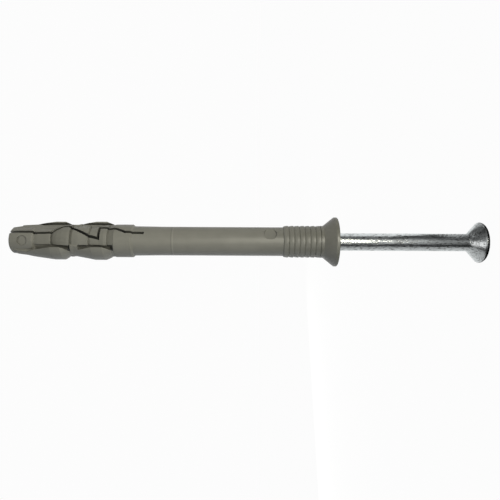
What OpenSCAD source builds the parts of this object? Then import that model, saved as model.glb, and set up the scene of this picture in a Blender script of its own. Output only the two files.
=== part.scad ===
// Hammer fixing plug: a moulded expansion plug with its drive nail set part way in.
// Millimetres. Each piece is drawn with the plug's tip end at z = 0 and the nail's head on top,
// then turned over to stand on the nail's head, tip up.
// While drawn, -x is the side that ends in front, and +y the side that ends on the right.

/* [Plug] */
// Length of the plug from its tip end to the face of its head
plug_l = 80; // [74:1:110]
// Outside of the plain sleeve
sleeve_d = 7.1; // [6.7:0.1:7.4]
// How much thicker the sleeve is where it leaves the guide collar
sleeve_swell = 0.2; // [0:0.05:0.3]
// Length over which that thickening dies away
swell_l = 8; // [4:1:14]
// Free play round the nail's shank, on the radius
nail_play = 0.1; // [0.05:0.05:0.2]

/* [Plug head] */
// Width of the countersunk head
head_d = 12.16; // [11.7:0.1:13.5]
// Height of the band round the head's rim
head_rim_h = 0.85; // [0.6:0.05:1.2]
// Length of the head's cone
head_cone_l = 2.55; // [2:0.05:3.2]
// Width of the neck under the cone
neck_d = 7.9; // [7.6:0.05:8.4]
// Broken edge of the rim
rim_edge = 0.15; // [0.05:0.05:0.3]
// Free play round the nail's head when it is driven home, on the radius
seat_play = 0.15; // [0.05:0.05:0.25]

/* [Ribbed collar] */
// Number of ribs under the head
rib_count = 7; // [4:1:9]
// Distance from rib to rib
rib_pitch = 1.3; // [1:0.05:1.6]
// Width over the ribs
rib_d = 7.86; // [7.6:0.02:8.2]
// Depth of the grooves between the ribs
rib_depth = 0.22; // [0.1:0.02:0.28]
// Plain length between the last rib and the head's cone
land_l = 0.7; // [0.4:0.1:1.5]

/* [Guide collar] */
// Width of the collar that centres the plug in its hole
collar_d = 8.1; // [7.9:0.05:8.4]
// Length of the collar
collar_l = 4.9; // [3.5:0.1:6]
// Slope at each end of the collar
collar_edge = 0.4; // [0.2:0.05:0.7]

/* [Jaws] */
// Length of the split jaws, from the tip end to the guide collar
jaw_l = 25.2; // [23:0.1:28]
// Width of the tip cap
tip_d = 6.5; // [6.2:0.1:6.8]
// Length of the tip cap
tip_l = 5.7; // [5.2:0.1:6.2]
// Broken edge of the tip cap
tip_edge = 0.3; // [0.1:0.05:0.5]
// Width of the round core inside the jaws
core_d = 5.2; // [4.6:0.1:5.3]
// Width of the narrow hole that the nail's point opens up
pilot_d = 2.4; // [2:0.1:2.8]
// Width over the jaws at the waist behind the tip cap
waist_d = 5.9; // [5.6:0.1:6.1]
// Width over the first barb
barb_d = 6.4; // [6.2:0.1:6.7]
// Width over the crest of the second barb
crest_d = 8.0; // [7.8:0.05:8.05]
// Width over the hollow behind the crest
hollow_d = 6.7; // [6.4:0.1:7]
// Angle of the jaw faces to each side of the slot
face_angle = 50; // [46:1:53]
// Width over the raised back of the right jaw
back_d = 7.9; // [7.7:0.05:7.95]
// Distance of the step on the raised back from the tip end
back_z = 2.4; // [1.5:0.1:3.5]
// Gap between the raised back and the wing over it
back_gap = 0.35; // [0.25:0.05:0.5]

/* [Slot] */
// Width of the slot between the jaws
slot_w = 0.65; // [0.45:0.05:0.7]
// How far right of the middle the slot runs at the tip
slot_tip = 0.44; // [0.3:0.02:0.6]
// How much nearer to the middle it runs behind the tip cap
slot_dip = 0.2; // [0:0.05:0.25]
// How far right it runs where the left jaw reaches across
slot_high = 1.86; // [1.6:0.02:2]
// How far left it runs where the right jaw reaches across
slot_low = 1.46; // [1.1:0.02:1.6]
// How far right it runs after its square step
slot_step = 1.6; // [1.3:0.05:1.8]
// Length from the guide collar's start to the slot's round end
slot_past = 7.3; // [6.5:0.1:9]
// Width of the round end
slot_end_d = 0.75; // [0.6:0.05:0.9]

/* [Wings] */
// Width over the wings next to the tip
wing_d = 9.4; // [9:0.05:9.7]
// Width over the wings next to the guide collar
wing_rear_d = 9.5; // [9.1:0.05:9.8]
// Distance from the middle to the flat inner face of a wing
wing_wall = 3.75; // [3.6:0.05:3.8]
// Width of the right wings between the flats on their edges
wing_flat_w = 4.6; // [4.2:0.1:5]
// Width of the bridge between the wings of one side
bridge_w = 4.8; // [4.2:0.1:5.2]
// Thickness of the ridge that leads up to a wing
ridge_t = 1.6; // [1.2:0.1:2]

/* [Ejector marks] */
// Width of the mark on the sleeve
mark_d = 3.1; // [2:0.1:3.5]
// Depth of that mark at its middle
mark_depth = 0.3; // [0.15:0.01:0.35]
// Distance of that mark from the head's face
mark_back = 16.5; // [15:0.5:20]
// Width of the mark on the tip cap
tip_mark_d = 2.4; // [1.6:0.1:2.6]
// Depth of that mark at its middle
tip_mark_depth = 0.5; // [0.35:0.05:0.55]
// Angle of that mark round from the front, towards the left
tip_mark_angle = 33; // [28:1:45]

/* [Nail] */
// Width of the nail's shank
nail_d = 4.3; // [4.1:0.05:4.5]
// Width of the nail's head
nail_head_d = 10.0; // [9.4:0.1:10.2]
// Height of the band round the nail head's rim
nail_rim_h = 0.85; // [0.6:0.05:1]
// Broken edge on top of the nail's head
nail_edge = 0.35; // [0.15:0.05:0.45]
// Length of the nail's point
nail_point_l = 4.5; // [3.5:0.1:6]
// Width of the blunt end of the point
nail_blunt_d = 0.6; // [0.3:0.1:1]
// How far the nail comes out past the plug's tip when driven home
nail_past = 5; // [3:0.5:8]
// Distance of the nail's point in front of the slot's round end, as supplied
nail_rest = 1.5; // [1:0.1:2.2]

/* [Hidden] */
$fn = 96;
far = 20;

sleeve_r = sleeve_d / 2;
collar_r = collar_d / 2;
collar_z = jaw_l + collar_l;
head_r = head_d / 2;
cone_z = plug_l - head_rim_h - head_cone_l;
ribs_z = cone_z - land_l - rib_count * rib_pitch;
slot_z = jaw_l + slot_past;
tip_r = tip_d / 2;
waist_r = waist_d / 2;
barb_r = barb_d / 2;
crest_r = crest_d / 2;
hollow_r = hollow_d / 2;
bore_r = nail_d / 2 + nail_play;
pilot_r = pilot_d / 2;
seat_r = nail_head_d / 2 + seat_play;
back_r = back_d / 2;
back_y = wing_wall - back_gap;
back_x = sqrt(back_r * back_r - back_y * back_y);
lip_y = slot_tip + slot_w / 2;
lip_x = sqrt(waist_r * waist_r - lip_y * lip_y);
seat_z = plug_l - nail_rim_h - seat_play;
funnel_z = slot_z - 3;

nail_tip_z = slot_z - nail_rest;
nail_out = nail_tip_z + nail_past;
nail_top_z = plug_l + nail_out;
nail_r = nail_d / 2;
nail_head_r = nail_head_d / 2;
nail_cone_z = nail_top_z - nail_rim_h;

// Stations along the jaws
barb_z = 0.404 * jaw_l;
crest_z = 0.592 * jaw_l;
bridge_z = 0.67 * jaw_l;
hollow_z = 0.77 * jaw_l;
step_z = 0.87 * jaw_l;
last_z = 0.952 * jaw_l;

// The fixing stands on the flat top of the nail's head
module stood()
  translate([0, 0, nail_top_z])
    rotate([180, 0, 90])
      children();

module turned(points)
  rotate_extrude()
    polygon(points);

// A line of points widened by w to both sides, with mitred corners
function along(a, b) = (b - a) / norm(b - a);
function across(d) = [-d[1], d[0]];
function side(line, w) = [
  for (i = [0 : len(line) - 1])
    let (
      j = max(i, 1),
      k = min(i, len(line) - 2),
      a = across(along(line[j - 1], line[j])),
      b = across(along(line[k], line[k + 1])),
      m = along([0, 0], a + b)
    )
    line[i] + m * w / (m * a)
];
function backwards(list) = [for (i = [len(list) - 1 : -1 : 0]) list[i]];
function ribbon(line, w) = concat(side(line, w / 2), backwards(side(line, -w / 2)));

// Collar, sleeve, ribs and head, as one turned outline
module shank()
  turned(concat(
    [
      [0, jaw_l],
      [collar_r - collar_edge, jaw_l],
      [collar_r, jaw_l + collar_edge],
      [collar_r, collar_z - collar_edge],
      [sleeve_r + sleeve_swell / 2, collar_z],
      [sleeve_r, collar_z + swell_l],
      [sleeve_r, ribs_z]
    ],
    [
      for (i = [0 : rib_count - 1])
        for (p = [[1, 0], [0.45, 0.15], [0.12, 0.45], [0, 0.7], [0, 0.9], [1, 1]])
          [rib_d / 2 - p[0] * rib_depth, ribs_z + (i + p[1] * 0.999) * rib_pitch]
    ],
    [
      [neck_d / 2, cone_z - land_l],
      [neck_d / 2, cone_z],
      [head_r - rim_edge / 2, plug_l - head_rim_h],
      [head_r, plug_l - head_rim_h + rim_edge],
      [head_r, plug_l - rim_edge],
      [head_r - rim_edge, plug_l],
      [0, plug_l]
    ]
  ));

// Round outline of the jaw faces: each barb swells quickly, runs level and drops off square
module jaw_outline()
  turned([
    [0, tip_l - 1],
    [waist_r - 0.3, tip_l - 1],
    [waist_r - 0.3, tip_l],
    [waist_r - 0.08, tip_l + 0.4],
    [waist_r + 0.05, tip_l + 1.2],
    [barb_r - 0.1, 0.34 * jaw_l],
    [barb_r, barb_z - 0.4],
    [barb_r, barb_z],
    [waist_r - 0.15, barb_z + 0.1],
    [waist_r + 0.2, barb_z + 0.6],
    [waist_r + 0.55, barb_z + 1.5],
    [crest_r - 0.18, barb_z + 2.8],
    [crest_r, crest_z - 0.6],
    [crest_r, crest_z],
    [hollow_r, crest_z + 0.1],
    [hollow_r + 0.2, crest_z + 0.6],
    [hollow_r + 0.3, bridge_z],
    [hollow_r + 0.3, hollow_z],
    [hollow_r - 0.05, hollow_z + 0.1],
    [hollow_r + 0.1, hollow_z + 0.5],
    [hollow_r + 0.3, step_z],
    [crest_r - 0.1, last_z - 0.8],
    [crest_r - 0.1, last_z],
    [hollow_r + 0.1, last_z + 0.12],
    [collar_r - 0.12, jaw_l + 0.25],
    [collar_r - 0.12, jaw_l + 0.5],
    [0, jaw_l + 0.5]
  ]);

// Round outline of the wings: a long ramp up to each crest and a short fall behind it
module wing_outline()
  turned([
    [0, 1],
    [tip_r, 1],
    [tip_r + 0.25, 1.8],
    [wing_d / 2, 0.415 * jaw_l],
    [wing_d / 2, 0.51 * jaw_l],
    [crest_r - 0.1, 0.58 * jaw_l],
    [crest_r - 0.1, 0.63 * jaw_l],
    [wing_rear_d / 2, 0.81 * jaw_l],
    [wing_rear_d / 2, 0.914 * jaw_l],
    [collar_r - 0.05, 0.99 * jaw_l],
    [collar_r - 0.05, jaw_l + collar_edge],
    [0, jaw_l + collar_edge]
  ]);

// Wedges in front and behind, that keep the jaw faces apart from the wings
module faces()
  for (turn = [0, 180])
    rotate([0, 0, turn])
      linear_extrude(height = jaw_l + 2)
        polygon([
          [0, 0],
          [-far * cos(face_angle), far * sin(face_angle)],
          [-far * cos(face_angle), -far * sin(face_angle)]
        ]);

module jaws() {
  // tip cap
  turned([
    [0, 0],
    [tip_r - tip_edge - 0.1, 0],
    [tip_r - 0.1, tip_edge],
    [tip_r, 0.4 * tip_l],
    [tip_r, tip_l],
    [core_d / 2, tip_l + 0.5],
    [0, tip_l + 0.5]
  ]);
  // core
  translate([0, 0, 1])
    cylinder(d = core_d, h = jaw_l);
  // barbed faces
  intersection() {
    jaw_outline();
    faces();
  }
  // bridge between the wings of one side
  intersection() {
    wing_outline();
    translate([-bridge_w / 2, -far, crest_z + 0.1])
      cube([bridge_w, 2 * far, bridge_z - crest_z]);
  }
  // raised back of the right jaw, with a flat to each side that runs down to the slot
  intersection() {
    turned([
      [0, tip_edge],
      [tip_r, tip_edge],
      [back_r - 0.4, back_z],
      [back_r - 0.2, back_z],
      [back_r, tip_l],
      [back_r, 1.15 * tip_l],
      [back_r - 0.2, 1.35 * tip_l],
      [back_r, barb_z],
      [back_r, jaw_l + 0.5],
      [0, jaw_l + 0.5]
    ]);
    linear_extrude(height = jaw_l + 1)
      polygon([[-lip_x, lip_y], [-back_x, back_y], [back_x, back_y], [lip_x, lip_y]]);
  }
  // wings, with the ridges that lead up to them
  intersection() {
    wing_outline();
    union() {
      translate([-far, -wing_wall - far, 0])
        cube([2 * far, far, jaw_l + 1]);
      translate([-wing_flat_w / 2, wing_wall, 0])
        cube([wing_flat_w, far, jaw_l + 1]);
      translate([-ridge_t / 2, -far, 0])
        cube([ridge_t, 2 * far, tip_l + 0.4]);
    }
  }
}

// Way for the nail: narrow in the jaws, wide in the sleeve, and a seat for the nail's head
module nail_way()
  turned([
    [0, -1],
    [pilot_r, -1],
    [pilot_r, funnel_z],
    [bore_r, slot_z],
    [bore_r, seat_z - (seat_r - bore_r)],
    [seat_r, seat_z],
    [seat_r, plug_l + 1],
    [0, plug_l + 1]
  ]);

// Slot that parts the jaws, from its place right or left of the middle at each station
module slot() {
  line = [
    [slot_tip, -1],
    [slot_tip, tip_l],
    [slot_tip - slot_dip, tip_l + 0.4],
    [slot_tip - slot_dip, 0.4 * jaw_l],
    [slot_high, 0.52 * jaw_l],
    [slot_high, 0.575 * jaw_l],
    [-0.5 * slot_low, 0.77 * jaw_l],
    [-slot_low, step_z],
    [slot_step, step_z],
    [0.78 * slot_step, 0.965 * jaw_l],
    [0.53 * slot_step, 1.05 * jaw_l],
    [0, 1.123 * jaw_l],
    [0, slot_z]
  ];
  rotate([90, 0, 90])
    linear_extrude(height = 2 * far, center = true)
      polygon(ribbon(line, slot_w));
  translate([0, 0, slot_z])
    rotate([0, 90, 0])
      cylinder(d = slot_end_d, h = 2 * far, center = true);
}

// Round marks left by ejector pins, in front only
module ejector_marks() {
  translate([-sleeve_r + mark_depth, 0, plug_l - mark_back])
    rotate([0, -90, 0])
      cylinder(d = mark_d, h = far);
  rotate([0, 0, tip_mark_angle])
    translate([-tip_r + tip_mark_depth, 0, 0.58 * tip_l])
      rotate([0, -90, 0])
        cylinder(d = tip_mark_d, h = far);
}

module plug_sleeve()
  color([0.42, 0.41, 0.38])
    stood()
      difference() {
        union() {
          shank();
          jaws();
        }
        nail_way();
        slot();
        ejector_marks();
      }

module drive_nail()
  color([0.75, 0.77, 0.78])
    stood()
      turned([
        [0, nail_tip_z],
        [nail_blunt_d / 2, nail_tip_z],
        [nail_r, nail_tip_z + nail_point_l],
        [nail_r, nail_cone_z - (nail_head_r - nail_r)],
        [nail_head_r - 0.1, nail_cone_z - 0.1],
        [nail_head_r, nail_cone_z + 0.1],
        [nail_head_r, nail_top_z - nail_edge],
        [nail_head_r - 0.3 * nail_edge, nail_top_z - 0.3 * nail_edge],
        [nail_head_r - nail_edge, nail_top_z],
        [0, nail_top_z]
      ]);

plug_sleeve();
drive_nail();
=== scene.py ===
# %% [markdown]
# A hammer fixing: a grey nylon plug with a zinc-plated drive nail pushed part way into it.
# The imported solids come in first. They carry the true sizes, and this lesson gives them their looks.
# The box round the solids is kept, and the height of the plug's tip is read from it.

# %% Load the solids
import math
import bpy
from mathutils import Matrix, Vector


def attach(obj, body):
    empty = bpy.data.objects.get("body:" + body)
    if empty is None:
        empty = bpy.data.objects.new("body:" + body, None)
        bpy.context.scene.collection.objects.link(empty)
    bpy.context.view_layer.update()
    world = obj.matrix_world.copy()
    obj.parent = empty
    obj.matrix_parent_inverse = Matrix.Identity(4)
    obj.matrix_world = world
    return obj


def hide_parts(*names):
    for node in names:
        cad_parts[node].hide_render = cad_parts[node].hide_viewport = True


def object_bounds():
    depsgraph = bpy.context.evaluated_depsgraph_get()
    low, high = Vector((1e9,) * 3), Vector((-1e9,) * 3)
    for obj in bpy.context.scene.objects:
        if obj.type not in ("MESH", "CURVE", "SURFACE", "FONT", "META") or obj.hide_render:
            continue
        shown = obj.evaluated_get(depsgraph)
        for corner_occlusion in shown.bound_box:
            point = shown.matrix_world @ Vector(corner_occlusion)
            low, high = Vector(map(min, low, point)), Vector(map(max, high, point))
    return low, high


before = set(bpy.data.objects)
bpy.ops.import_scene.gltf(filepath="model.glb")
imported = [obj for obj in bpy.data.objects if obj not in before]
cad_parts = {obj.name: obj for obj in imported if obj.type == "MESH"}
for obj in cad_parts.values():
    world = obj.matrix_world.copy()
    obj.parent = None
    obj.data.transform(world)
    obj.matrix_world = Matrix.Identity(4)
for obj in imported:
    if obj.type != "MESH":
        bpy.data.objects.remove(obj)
cad_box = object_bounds()
scene = bpy.context.scene
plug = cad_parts["plug_sleeve"]


def size_in_mm(box):
    return [round(1000 * (high - low), 2) for low, high in zip(*box)]


print("solids:", size_in_mm(cad_box), "mm")

# %% [markdown]
# A few measures of the fixing come back again and again, so they are named once, in metres.
# The fixing stands on its nail's head, so heights run from that head, at 0, up to the plug's tip.
# The front is the side of the slot, and the photograph was taken from a little to the left of it.

# %% Measures and directions
mm = 0.001
tip = Vector((0, 0, cad_box[1][2]))
upright = Vector((0, 0, 1))
to_head = Vector((0, 0, -1))
front = Vector((0, -1, 0))
right = Vector((1, 0, 0))
swing = math.radians(32)
to_camera = front * math.cos(swing) - right * math.sin(swing)
picture_up = front * math.sin(swing) + right * math.cos(swing)
print("tip:", round(tip.z / mm, 2), "mm up, camera side:", [round(v, 3) for v in to_camera])

# %% [markdown]
# The photograph shows the fixing lying across the picture, tip to the left, from close by. One pixel is
# about a quarter of a millimetre at the plug's axis, and the lens was about 490 pixels away. A camera can
# be aimed by eye, but one that is worked out from the photograph's own measures can be corrected one
# number at a time. It is turned on its side, so that the standing fixing runs from left to right.

# %% Camera
photo_wide = 500
pixel = 0.2483 * mm
eye = 490
tip_column = 14
axis_above = 8.5
lean = math.radians(0.29)
sensor = 36
picture_right = to_head * math.cos(lean) + picture_up * math.sin(lean)
picture_top = picture_up * math.cos(lean) - to_head * math.sin(lean)
middle = tip + to_head * (photo_wide / 2 - tip_column) * pixel - picture_up * axis_above * pixel

lens = bpy.data.cameras.new("camera")
camera = bpy.data.objects.new("camera", lens)
scene.collection.objects.link(camera)
lens.sensor_width = sensor
lens.lens = sensor * eye / photo_wide
lens.clip_start = 1 * mm
stand = Matrix((picture_right, picture_top, to_camera)).transposed().to_4x4()
stand.translation = middle + to_camera * eye * pixel
camera.matrix_world = stand
scene.camera = camera
scene.view_settings.view_transform = "Standard"
print("camera:", round(eye * pixel / mm), "mm away, lens", round(lens.lens, 1), "mm")

# %% [markdown]
# Materials are small node trees, and the same few moves build all of them. These helpers add a node with
# its settings, join two sockets, start a material that reads Object coordinates, and do sums with values
# that may be sockets or plain numbers.

# %% Helpers for node trees
def add(tree, kind, **settings):
    node = tree.nodes.new(kind)
    for name, value in settings.items():
        setattr(node, name, value)
    return node


def join(tree, out, into):
    tree.links.new(out, into)


def new_finish(name):
    finish = bpy.data.materials.new(name)
    finish.use_nodes = True
    tree = finish.node_tree
    place = add(tree, "ShaderNodeTexCoord")
    return finish, tree, tree.nodes["Principled BSDF"], place.outputs["Object"]


def work_out(tree, operation, *values):
    node = add(tree, "ShaderNodeMath", operation=operation)
    for socket, value in zip(node.inputs, values):
        if isinstance(value, (int, float)):
            socket.default_value = value
        else:
            join(tree, value, socket)
    return node.outputs[0]


def chain(tree, operation, first, *others):
    for other in others:
        first = work_out(tree, operation, first, other)
    return first


def total(tree, *parts):
    return chain(tree, "ADD", *parts)


def product(tree, *parts):
    return chain(tree, "MULTIPLY", *parts)


def larger(tree, *parts):
    return chain(tree, "MAXIMUM", *parts)


print("helpers for sums ready")

# %% [markdown]
# Patterns need a few more moves: to spread one range of values over another, to turn a value into a colour,
# to draw a noise that may be stretched, and to measure how far a point lies along a direction.

# %% Helpers for patterns
def spread(tree, value, low, high, out_low, out_high):
    node = add(tree, "ShaderNodeMapRange")
    join(tree, value, node.inputs["Value"])
    limits = {"From Min": low, "From Max": high, "To Min": out_low, "To Max": out_high}
    for name, number in limits.items():
        node.inputs[name].default_value = number
    return node.outputs["Result"]


def ramp(tree, value, stops):
    node = add(tree, "ShaderNodeValToRGB")
    marks = node.color_ramp.elements
    while len(marks) < len(stops):
        marks.new(1.0)
    for mark, (position, colour) in zip(marks, stops):
        mark.position = position
        mark.color = (*colour, 1)
    join(tree, value, node.inputs["Fac"])
    return node.outputs["Color"]


def grain(tree, place, scale, detail, stretch=(1, 1, 1), rough=0.5):
    turned = add(tree, "ShaderNodeMapping")
    turned.inputs["Scale"].default_value = stretch
    join(tree, place, turned.inputs["Vector"])
    noise = add(tree, "ShaderNodeTexNoise")
    noise.inputs["Scale"].default_value = scale
    noise.inputs["Detail"].default_value = detail
    noise.inputs["Roughness"].default_value = rough
    join(tree, turned.outputs["Vector"], noise.inputs["Vector"])
    return noise.outputs["Fac"]


def along_way(tree, place, way):
    dot = add(tree, "ShaderNodeVectorMath", operation="DOT_PRODUCT")
    dot.inputs[1].default_value = way
    join(tree, place, dot.inputs[0])
    return dot.outputs["Value"]


print("helpers for patterns ready")

# %% [markdown]
# The photograph has a plain white ground with hardly any shadow. A bright lamp could wash a floor white,
# but it would bleach the plug as well. So the floor is mostly white to the camera and to shiny metal,
# and a small share of it stays an ordinary pale floor, which keeps the soft shadow round the nail's head.

# %% Floor
floor_wide = 6
white_share = 0.97


def seen_white(tree):
    path = add(tree, "ShaderNodeLightPath").outputs
    return larger(tree, path["Is Camera Ray"], path["Is Glossy Ray"], path["Is Transmission Ray"])


def show_white(tree, lit, white, share, output):
    blend = add(tree, "ShaderNodeMixShader")
    for source, into in zip((share, lit.outputs[0], white.outputs[0]), blend.inputs):
        join(tree, source, into)
    join(tree, blend.outputs[0], tree.nodes[output].inputs["Surface"])


bpy.ops.object.select_all(action="DESELECT")
bpy.ops.mesh.primitive_plane_add(size=floor_wide)
floor = bpy.context.object
floor.name = "floor"

paper, tree, board, _ = new_finish("white_paper")
board.inputs["Base Color"].default_value = (0.85, 0.85, 0.85, 1)
board.inputs["Roughness"].default_value = 0.9
glow = add(tree, "ShaderNodeEmission")
glow.inputs["Color"].default_value = (1, 1, 1, 1)
glow.inputs["Strength"].default_value = 1.0
show_white(tree, board, glow, product(tree, seen_white(tree), white_share), "Material Output")
floor.data.materials.append(paper)
print("floor:", floor.dimensions.x, "m wide")

# %% [markdown]
# The world is white to the camera in the same way, and darker overhead, where no camera looks, so that
# slopes that face the tip mirror less light. As a light it is dimmer: warm on the upper side of the
# picture and cool on the lower, as in the photograph.

# %% World
cool_light = (0.42, 0.63, 1.0)
warm_light = (1.0, 0.93, 0.72)
room_light = 0.47
room_white = 0.975
overhead_white = 0.35

world = bpy.data.worlds.new("white_room")
scene.world = world
world.use_nodes = True
tree = world.node_tree
sky = add(tree, "ShaderNodeTexCoord").outputs["Generated"]
sky_side = spread(tree, along_way(tree, sky, picture_up), -0.9, 0.9, 0, 1)
sky_height = along_way(tree, sky, upright)

dim = tree.nodes["Background"]
join(tree, ramp(tree, sky_side, [(0, cool_light), (1, warm_light)]), dim.inputs["Color"])
join(tree, spread(tree, sky_height, 0, 0.6, room_light, 0), dim.inputs["Strength"])
white = add(tree, "ShaderNodeBackground")
white.inputs["Color"].default_value = (1, 1, 1, 1)
join(tree, spread(tree, sky_height, 0.5, 0.75, room_white, overhead_white), white.inputs["Strength"])
show_white(tree, dim, white, seen_white(tree), "World Output")
print("world:", world.name, "with", len(tree.nodes), "nodes")

# %% [markdown]
# A low, wide lamp stands just above the floor, a little further off than the camera and a little to the
# upper side of the picture. It shines up along the fixing, so that every slope that faces the tip falls
# off into shade. It is aimed above the tip, and its beam is narrowed, so that the far jaws get as much
# light as the near head. A weak cool lamp fills in from the lower side, and a broad one lights the back.
# The back lamp is kept out of mirrors and out of the picture, so that it draws no bright edge in front.

# %% Lamps
def soft_lamp(name, place, aim, wide, high, watts, tint, cone=180):
    lamp = bpy.data.lights.new(name, "AREA")
    lamp.spread = math.radians(cone)
    lamp.shape = "RECTANGLE"
    lamp.size = wide
    lamp.size_y = high
    lamp.energy = watts
    lamp.color = tint
    holder = bpy.data.objects.new(name, lamp)
    scene.collection.objects.link(holder)
    holder.location = place
    holder.rotation_euler = (aim - place).to_track_quat("-Z", "Y").to_euler()
    print(name, [round(v, 3) for v in place], watts, "W")
    return holder


low = Vector((0, 0, 12 * mm))
half_way = Vector((0, 0, 60 * mm))
above_tip = Vector((0, 0, 140 * mm))
soft_lamp("key_lamp", low + to_camera * 0.151 + picture_up * 0.027, above_tip,
          wide=0.06, high=0.018, watts=0.104, tint=(1.0, 0.97, 0.835), cone=110)
soft_lamp("fill_lamp", half_way - to_camera * 0.17 - picture_up * 0.47, half_way,
          wide=0.3, high=0.06, watts=0.03, tint=(0.6, 0.8, 1.0))
back_lamp = soft_lamp("back_lamp", half_way - to_camera * 0.3 - picture_up * 0.18, half_way,
                      wide=0.3, high=0.1, watts=0.55, tint=(1.0, 0.98, 0.92))
back_lamp.visible_camera = False
back_lamp.visible_glossy = False

# %% [markdown]
# Bright plating is a mirror, so it shows whatever stands round it: it needs light and dark strips to look
# like metal. In a studio, cards would stand round it. Here a tall, narrow cup does their work.
# It stands round the nail, a little nearer to the camera and to the lower side of the picture.
# It is open above, lights nothing and casts no shadow: only shiny surfaces see it.

# %% Cup round the nail
cup_r = 18 * mm
cup_tall = 80 * mm
cup_shift = 8 * mm
cup_turn = math.radians(-20)
cup_bottom = Vector((0, 0, 0.1 * mm))
cup_way = to_camera * math.cos(cup_turn) + picture_up * math.sin(cup_turn)

bpy.ops.object.select_all(action="DESELECT")
bpy.ops.mesh.primitive_circle_add(vertices=64, radius=cup_r, fill_type="NGON",
                                  location=cup_way * cup_shift + cup_bottom)
cup = bpy.context.object
cup.name = "striped_cup"
bpy.ops.object.mode_set(mode="EDIT")
bpy.ops.mesh.select_mode(type="EDGE")
bpy.ops.mesh.select_all(action="SELECT")
bpy.ops.mesh.extrude_edges_move(TRANSFORM_OT_translate={"value": (0, 0, cup_tall)})
bpy.ops.object.mode_set(mode="OBJECT")
bpy.ops.object.transform_apply(location=True, rotation=False, scale=False)
cup.visible_camera = False
cup.visible_diffuse = False
cup.visible_shadow = False
cup.visible_transmission = False
print("cup:", [round(v / mm, 1) for v in cup.dimensions], "mm")

# %% [markdown]
# The cup's finish glows in strips, which the shank mirrors as long bands. Each strip has an angle and a
# level. Angles are counted round the nail, from the camera's side towards the top of the picture.

# %% Strips of the cup
strips = [(-180, 0.85), (-140, 0.9), (-95, 0.56), (-70, 0.46), (-56, 0.06), (-31, 0.06), (-12, 0.42),
          (4, 0.6), (16, 0.56), (42, 0.14), (68, 0.12), (87, 1.0), (112, 1.0), (135, 0.9), (180, 0.9)]

cup_glow, cup_tree, _, place = new_finish("cup_strip_glow")
upward, outward, above = [along_way(cup_tree, place, way) for way in (picture_up, to_camera, upright)]
round_nail = work_out(cup_tree, "ARCTAN2", upward, outward)
stops = [((angle + 180) / 360, (0.97 * level, 0.995 * level, level)) for angle, level in strips]
bands = ramp(cup_tree, spread(cup_tree, round_nail, -math.pi, math.pi, 0, 1), stops)
print("strips:", len(stops))

# %% [markdown]
# Low down the cup is dimmer, and it has a dark patch on the upper side, which the slope of the nail's
# head mirrors. The patch reaches higher on the side that is nearer to the camera. A dark ring on the
# cup's floor, round the head, draws the thin dark line along the rim.

# %% Dim lower part of the cup
def by_angle(start, end, before, after):
    return spread(cup_tree, round_nail, math.radians(start), math.radians(end), before, after)


def by_height(start, end, before, after, height=above):
    return spread(cup_tree, height, start * mm, end * mm, before, after)


patch_lift = by_angle(85, 100, 7 * mm, 0)
above_patch = by_height(9, 13, 0, 1, work_out(cup_tree, "SUBTRACT", above, patch_lift))
beside_patch = larger(cup_tree, by_angle(58, 72, 1, 0.12), by_angle(116, 132, 0.12, 1))
patch = larger(cup_tree, beside_patch, above_patch, by_height(4, 7, 0.45, 0))
dusk = larger(cup_tree, by_angle(-60, -40, 1, 0), by_angle(25, 45, 0, 1), by_height(0.5, 10.5, 0.5, 1))

squares = [product(cup_tree, way, way) for way in (upward, outward)]
from_axis = work_out(cup_tree, "SQRT", total(cup_tree, *squares))
dark_ring = spread(cup_tree, from_axis, 5.9 * mm, 6.5 * mm, 0.03, 1)
level = product(cup_tree, patch, dusk, dark_ring)
print("lower part of the cup:", len(cup_tree.nodes), "nodes so far")

# %% [markdown]
# The slope of the head also mirrors the upper part of the cup, which is mostly plain white, with two
# windows in it. A bright one gives the slope its highlight, and a dark one beside it gives the shade
# next to the highlight. The white keeps the sheen of the plug's ribs as pale as the room would.

# %% Windows in the upper part of the cup
upper = by_height(34, 37, 0, 1)
dark_window = product(cup_tree, by_angle(4, 16, 0, 1), by_angle(58, 72, 1, 0))
plain_white = larger(cup_tree, by_angle(-72, -64, 1, 0), by_angle(58, 72, 0, 1), by_height(46, 50, 0, 1))
bright_window = product(cup_tree, by_angle(-45, -37, 0, 1), by_angle(-5, 7, 1, 0))

colour = bands
for mask, grey in ((dark_window, 0.03), (plain_white, 0.975), (bright_window, 1.08)):
    painted = add(cup_tree, "ShaderNodeMix", data_type="RGBA")
    join(cup_tree, product(cup_tree, upper, mask), painted.inputs["Factor"])
    join(cup_tree, colour, painted.inputs["A"])
    painted.inputs["B"].default_value = (grey, grey, grey, 1)
    colour = painted.outputs["Result"]

glow = add(cup_tree, "ShaderNodeEmission")
join(cup_tree, colour, glow.inputs["Color"])
join(cup_tree, level, glow.inputs["Strength"])
join(cup_tree, glow.outputs[0], cup_tree.nodes["Material Output"].inputs["Surface"])
cup.data.materials.append(cup_glow)
print("cup finish:", len(cup_tree.nodes), "nodes")

# %% [markdown]
# The plug is moulded in grey nylon: satin, a little mottled, with faint streaks along the way the melt
# flowed. The solid has the right shape and stays. An image could carry its finish, but a pattern on
# Object coordinates needs no file and sits still on the part. Shade is painted into its colour: an
# occlusion node darkens the skin in its corners, where shade falls, and darkest in the slot. This
# painted shade is kept lighter in the open pockets behind the left wings.

# %% Nylon of the plug
dark_nylon = (0.157, 0.156, 0.138)
pale_nylon = (0.197, 0.196, 0.174)
corner_reach = 2.2 * mm

nylon, tree, body, place = new_finish("grey_nylon")
axes = add(tree, "ShaderNodeSeparateXYZ")
join(tree, place, axes.inputs[0])
x, y, z = axes.outputs

mottle = grain(tree, place, 260, 4)
streak = grain(tree, place, 700, 3, stretch=(1, 1, 0.06))
cloudy = total(tree, product(tree, mottle, 0.6), product(tree, streak, 0.4))
tone = ramp(tree, cloudy, [(0.3, dark_nylon), (0.7, pale_nylon)])

# Painted shade: an occlusion node darkens the colour in corners and in the slot, where shade falls.
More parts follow.
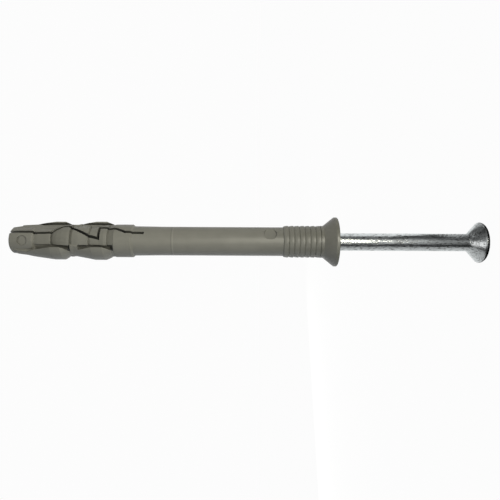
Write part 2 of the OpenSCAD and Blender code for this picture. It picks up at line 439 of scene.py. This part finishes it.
corner_occlusion = add(tree, "ShaderNodeAmbientOcclusion", samples=8, only_local=True)
corner_occlusion.inputs["Distance"].default_value = corner_reach
corner_shade = spread(tree, corner_occlusion.outputs["AO"], 0.1, 0.8, 0.28, 1)
# In the open pockets behind the left wings the painted shade is held lighter.
pocket_shade_limit = spread(tree, x, -2.6 * mm, -2.0 * mm, 0.7, 0)
painted_shade = larger(tree, corner_shade, pocket_shade_limit)
shade = add(tree, "ShaderNodeMix", data_type="RGBA", blend_type="MULTIPLY")
shade.inputs["Factor"].default_value = 1.0
join(tree, tone, shade.inputs["A"])
join(tree, shade.outputs["Result"], body.inputs["Base Color"])
print("nylon: corners shaded over", round(corner_reach / mm, 1), "mm")

# %% [markdown]
# The mould leaves its own marks: a spark-eroded grain over the whole skin, a fine ring with a groove
# beside it, where two inserts of the mould meet on the sleeve, and a parting line down each side,
# where the halves of the mould closed. They are far too fine for the mesh, so they are drawn in the finish.
# The ring is raised in the bump and has a painted highlight; the groove is only a painted shade line.
# A bevel in the shading softens the moulded edges, which are never knife sharp.

# %% Mould marks
ring_at = 76.2 * mm
groove_at = 76.55 * mm
ring_half = 0.2 * mm
seam_half = 0.08 * mm
edge_r = 0.12 * mm
relief_deep = 0.03 * mm


def thin_line(tree, value, at, half):
    off = work_out(tree, "ABSOLUTE", work_out(tree, "SUBTRACT", value, at))
    return spread(tree, off, 0, half, 1, 0)


skin = grain(tree, place, 9000, 2)
ring = thin_line(tree, z, ring_at, ring_half)
groove_shade = thin_line(tree, z, groove_at, ring_half)
seam = thin_line(tree, y, 0, seam_half)
# Painted highlight on the ring and painted shade along the groove, multiplied into the colour with the
# painted corner shade.
ring_light_and_groove_shade = total(tree, 1, product(tree, ring, 0.28), product(tree, groove_shade, -0.25))
join(tree, product(tree, painted_shade, ring_light_and_groove_shade), shade.inputs["B"])

height = total(tree, product(tree, skin, 0.25), larger(tree, ring, seam))
soft_edge = add(tree, "ShaderNodeBevel", samples=6)
soft_edge.inputs["Radius"].default_value = edge_r
relief = add(tree, "ShaderNodeBump")
relief.inputs["Strength"].default_value = 0.5
relief.inputs["Distance"].default_value = relief_deep
join(tree, height, relief.inputs["Height"])
join(tree, soft_edge.outputs["Normal"], relief.inputs["Normal"])
join(tree, relief.outputs["Normal"], body.inputs["Normal"])
join(tree, spread(tree, streak, 0.3, 0.7, 0.38, 0.5), body.inputs["Roughness"])

plug.data.materials.clear()
plug.data.materials.append(nylon)
print("plug finish:", plug.data.materials[0].name)

# %% [markdown]
# The drive nail is cut from drawn wire: a point, a plain shank and a countersunk head struck in a die.
# It is modelled again here, because a real head has rolled edges and the shank carries the marks of the
# gripping die. Its outline comes first, in millimetres, as radius and height.
# Smooth shading bends the mirror image near an edge, so an extra ring close to each end of the head's
# slope, and one just past its neck, keep the bend short. Close rings follow where the marks will be.

# %% Nail outline
flat_r = 4.65
rim_r = 4.98
head_r = 5.0
neck_r = 2.33
shank_r = 2.15
point_r = 0.3
rim_low = 0.5
rim_top = 0.85
neck_at = 3.5
shank_at = 3.75
marks_at = 4.6
point_at = 80.5
point_end = 85
close_rings = 35
close_step = 0.2
wide_rings = (30, 50, 70)


def on_slope(r):
    share = (head_r - r) / (head_r - neck_r)
    return r, rim_top + share * (neck_at - rim_top)


outline = [(rim_r, rim_low), (head_r, rim_top)]
outline += [on_slope(head_r - 0.3), on_slope(neck_r + 0.09), (neck_r, neck_at)]
outline += [(shank_r, shank_at), (shank_r, shank_at + 0.1)]
outline += [(shank_r, marks_at + close_step * i) for i in range(close_rings + 1)]
outline += [(shank_r, at) for at in wide_rings]
outline += [(shank_r, point_at), (point_r, point_end)]
print("nail outline:", len(outline), "rings")

# %% [markdown]
# The outline could be spun round the axis. A disc that is extruded upwards and resized ring by ring, as
# a lathe tool follows a profile, does the same, stays closed, and leaves its rings at known heights,
# which later steps can pick. The disc itself is the flat of the head.

# %% Nail along its outline
bpy.ops.object.select_all(action="DESELECT")
bpy.ops.mesh.primitive_circle_add(vertices=96, radius=flat_r * mm, fill_type="NGON", location=(0, 0, 0))
nail = bpy.context.object
nail.name = "zinc_drive_nail"
bpy.ops.object.mode_set(mode="EDIT")
last_r, last_at = flat_r, 0.0
for r, at in outline:
    bpy.ops.mesh.extrude_region_move(TRANSFORM_OT_translate={"value": (0, 0, (at - last_at) * mm)})
    bpy.ops.transform.resize(value=(r / last_r, r / last_r, 1), center_override=(0, 0, at * mm))
    last_r, last_at = r, at
bpy.ops.object.mode_set(mode="OBJECT")
print("nail:", len(nail.data.vertices), "points")

# %% [markdown]
# Operators act on what is selected, so a helper picks the ring of edges at one height. With it, the two
# edges of the rim and the shoulder of the point are bevelled, because a struck edge is rolled.

# %% Rolled edges of the nail
rolled_edges = ((rim_low, 0.09, 3), (rim_top, 0.18, 4), (point_at, 0.3, 3))


def pick_ring(piece, at):
    bpy.ops.object.mode_set(mode="EDIT")
    bpy.ops.mesh.select_all(action="DESELECT")
    bpy.ops.object.mode_set(mode="OBJECT")
    points = piece.data.vertices
    for edge in piece.data.edges:
        edge.select = all(abs(points[i].co.z - at) < 0.001 * mm for i in edge.vertices)
    bpy.ops.object.mode_set(mode="EDIT")
    bpy.ops.mesh.select_mode(type="EDGE")


for at, wide, steps in rolled_edges:
    pick_ring(nail, at * mm)
    bpy.ops.mesh.bevel(offset=wide * mm, segments=steps)
bpy.ops.mesh.select_all(action="SELECT")
bpy.ops.mesh.normals_make_consistent(inside=False)
bpy.ops.object.mode_set(mode="OBJECT")
print("nail with rolled edges:", len(nail.data.vertices), "points")

# %% [markdown]
# The heading machine grips the wire just under the head, and its teeth leave slanting nicks on two
# opposite sides. The nicks could be cut one by one, but the close rings there already give them something
# to bite into: the points on each slanting line are picked and pressed in a little.

# %% Gripper marks
mark_side = math.radians(-90 + 24)
mark_half = math.radians(38)
mark_pitch = 1.0 * mm
mark_share = 0.34
mark_slant = 0.9
mark_low = 4.7 * mm
mark_high = 11.2 * mm
pressed_in = 0.972

bpy.ops.object.mode_set(mode="EDIT")
bpy.ops.mesh.select_mode(type="VERT")
bpy.ops.mesh.select_all(action="DESELECT")
bpy.ops.object.mode_set(mode="OBJECT")
pressed = 0
for point in nail.data.vertices:
    p = point.co
    off_side = (math.atan2(p.y, p.x) - mark_side + math.pi / 2) % math.pi - math.pi / 2
    slant = (p.z + shank_r * mm * off_side * mark_slant) / mark_pitch
    if mark_low < p.z < mark_high and abs(off_side) < mark_half and slant % 1 < mark_share:
        point.select = True
        pressed += 1
bpy.ops.object.mode_set(mode="EDIT")
bpy.ops.transform.resize(value=(pressed_in, pressed_in, 1), center_override=(0, 0, 0))
bpy.ops.object.mode_set(mode="OBJECT")
bpy.ops.object.shade_smooth_by_angle(angle=math.radians(40))
print("gripper marks:", pressed, "points pressed in")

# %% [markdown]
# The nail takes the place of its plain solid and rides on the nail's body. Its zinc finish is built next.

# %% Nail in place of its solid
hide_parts("drive_nail")
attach(nail, "nail")
print("nail:", [round(v / mm, 2) for v in nail.dimensions], "mm")

# %% [markdown]
# Drawn wire has long fine streaks, and its zinc is mottled with small dark flecks, both stretched along
# the shank. The flecks darken the metal, and streaks and flecks together roughen it through a bump. The
# head was struck in a polished die, so it is smoother than the shank.

# %% Zinc of the nail
dull_zinc = (0.27, 0.27, 0.265)
bright_zinc = (0.73, 0.75, 0.75)
plating_deep = 0.06 * mm

zinc, tree, body, place = new_finish("bright_zinc")
body.inputs["Metallic"].default_value = 1.0
drawn = grain(tree, place, 3200, 4, stretch=(1, 1, 0.08))
fleck = grain(tree, place, 2600, 4, stretch=(1, 1, 0.4), rough=0.6)
cloud = grain(tree, place, 240, 3)
clean = product(tree, spread(tree, fleck, 0.36, 0.5, 0, 1), spread(tree, cloud, 0.3, 0.6, 0.75, 1))
tone = ramp(tree, clean, [(0, dull_zinc), (1, bright_zinc)])
join(tree, tone, body.inputs["Base Color"])
join(tree, spread(tree, fleck, 0.3, 0.7, 0.2, 0.1), body.inputs["Roughness"])

smooth_head = spread(tree, along_way(tree, place, upright), 3.2 * mm, 4.0 * mm, 0.4, 1)
relief = add(tree, "ShaderNodeBump")
relief.inputs["Strength"].default_value = 0.9
relief.inputs["Distance"].default_value = plating_deep
join(tree, product(tree, total(tree, drawn, fleck), smooth_head), relief.inputs["Height"])
join(tree, relief.outputs["Normal"], body.inputs["Normal"])
nail.data.materials.clear()
nail.data.materials.append(zinc)
print("nail finish:", nail.data.materials[0].name)
